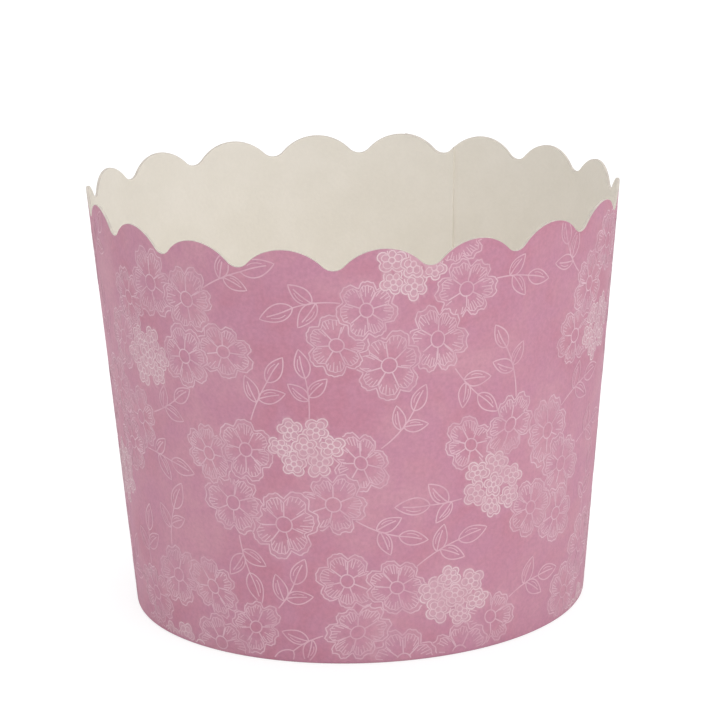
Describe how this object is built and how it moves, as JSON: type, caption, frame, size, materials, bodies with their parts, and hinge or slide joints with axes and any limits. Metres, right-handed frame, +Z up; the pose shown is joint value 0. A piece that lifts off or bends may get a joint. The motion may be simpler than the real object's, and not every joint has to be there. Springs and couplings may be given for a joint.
{
  "type": "cupcake liner",
  "caption": "Free-standing card baking cup: a tapered side wall with a scalloped open rim and a glued lap, folded in at the foot around a flat base disc.",
  "frame": {"origin": "centre of the bounding box at the foot, on the surface the cup stands on", "axes": "+Z up through the open rim, -Y towards the side that the picture shows, +X to its right"},
  "size_m": [0.0698, 0.0706, 0.0556],
  "materials": {
    "printed_card": "matte food-grade card, mottled pink outside with fine pale line flowers, cream inside",
    "plain_card": "matte cream food-grade card"
  },
  "bodies": {
    "root": {"side_wall": "printed_card", "base_disc": "plain_card"}
  },
  "joints": []
}
